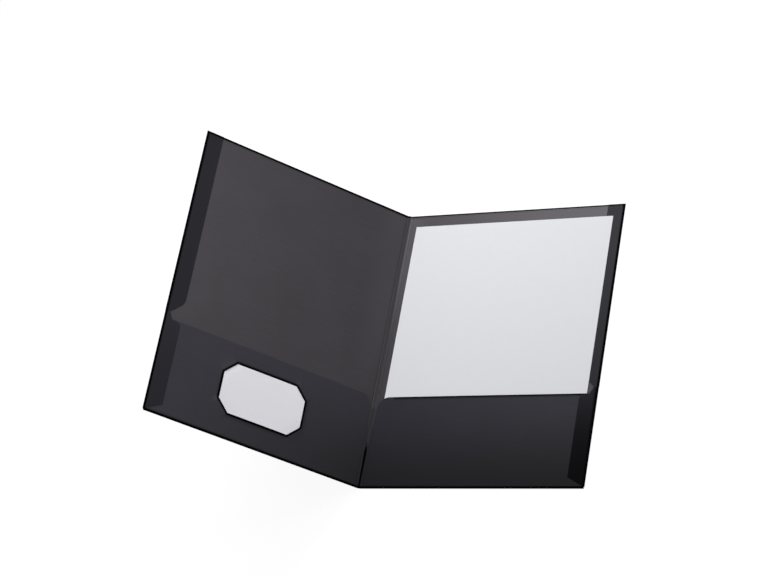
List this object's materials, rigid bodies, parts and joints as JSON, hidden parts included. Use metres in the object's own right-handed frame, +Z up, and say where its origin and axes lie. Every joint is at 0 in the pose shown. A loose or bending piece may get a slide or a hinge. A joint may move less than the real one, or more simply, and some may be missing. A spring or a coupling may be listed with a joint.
{
  "type": "two pocket folder",
  "caption": "Presentation folder of dark linen-embossed stock, standing open on its back cover, with a pocket inside each cover, turned-in edges, a letter sheet and a slit-held business card.",
  "frame": {"origin": "middle of the back cover's outside face, which lies on the table", "axes": "+X along the back cover from the spine to its outer edge, +Y up the spine to the folder's top edge, +Z up from the table"},
  "size_m": [0.3704, 0.3016, 0.1977],
  "materials": {
    "stock_inside": "linen-embossed charcoal cover stock, inside face",
    "stock_outside": "linen-embossed near-black cover stock, outside face",
    "glue": "dried cold glue film",
    "sheet_paper": "uncoated white paper",
    "card_paper": "smooth white card"
  },
  "bodies": {
    "back_side": {"back_cover": "stock_inside", "back_edge_hem": "stock_outside", "back_hem_fold": "stock_outside", "back_hem_glue": "glue", "back_pocket": "stock_outside", "back_pocket_fold": "stock_outside", "back_pocket_flap": "stock_outside", "back_flap_fold": "stock_outside", "back_flap_glue": "glue"},
    "spine": {"spine_strip": "stock_inside"},
    "front_side": {"front_cover": "stock_inside", "front_edge_hem": "stock_outside", "front_hem_fold": "stock_outside", "front_hem_glue": "glue", "front_pocket": "stock_outside", "front_pocket_fold": "stock_outside", "front_pocket_flap": "stock_outside", "front_flap_fold": "stock_outside", "front_flap_glue": "glue", "business_card": "card_paper"},
    "sheet": {"letter_sheet": "sheet_paper"}
  },
  "joints": [
    {"name": "back_score", "type": "hinge", "parent": "back_side", "child": "spine", "pos_m": [-0.1175, 0, 0.00018], "axis": [0, 1, 0], "range_deg": [-28, 62]},
    {"name": "front_score", "type": "hinge", "parent": "spine", "child": "front_side", "pos_m": [-0.12149, 0, 0.0023], "axis": [0, 1, 0], "range_deg": [-28, 62]},
    {"name": "sheet_slide", "type": "slide", "parent": "back_side", "child": "sheet", "axis": [0, 1, 0], "range_m": [-0.008, 0.295]}
  ],
  "couplings": [
    {"joint": "front_score", "follows": "back_score", "ratio": 1}
  ]
}
